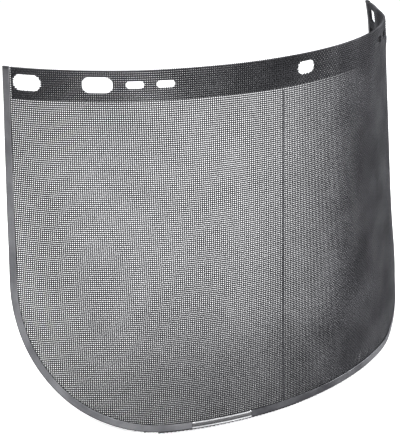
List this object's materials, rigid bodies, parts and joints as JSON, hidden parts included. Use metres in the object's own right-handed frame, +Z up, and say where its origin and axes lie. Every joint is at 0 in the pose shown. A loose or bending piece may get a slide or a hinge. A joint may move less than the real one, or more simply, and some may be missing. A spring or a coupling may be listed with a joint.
{
  "type": "face shield",
  "caption": "Wire-cloth face shield window: curved woven steel sheet with a doubled, slotted top band and a metal channel bound round its rounded lower edges",
  "frame": {"origin": "middle of the centre slot in the top band, halfway through the main sheet", "axes": "+Z up, outer convex face towards -Y, +X to the right seen from in front, mirror plane X = 0 except for the splice"},
  "size_m": [0.3218, 0.1015, 0.229],
  "materials": {
    "wire_cloth": "woven steel wire, dull",
    "hem_cloth": "woven steel wire, dull",
    "binding_metal": "satin, rolled",
    "splice_metal": "satin, crimped"
  },
  "bodies": {
    "root": {"wire_screen": "wire_cloth", "top_hem": "hem_cloth", "binding_left": "binding_metal", "binding_right": "binding_metal", "binding_splice": "splice_metal"}
  },
  "joints": []
}
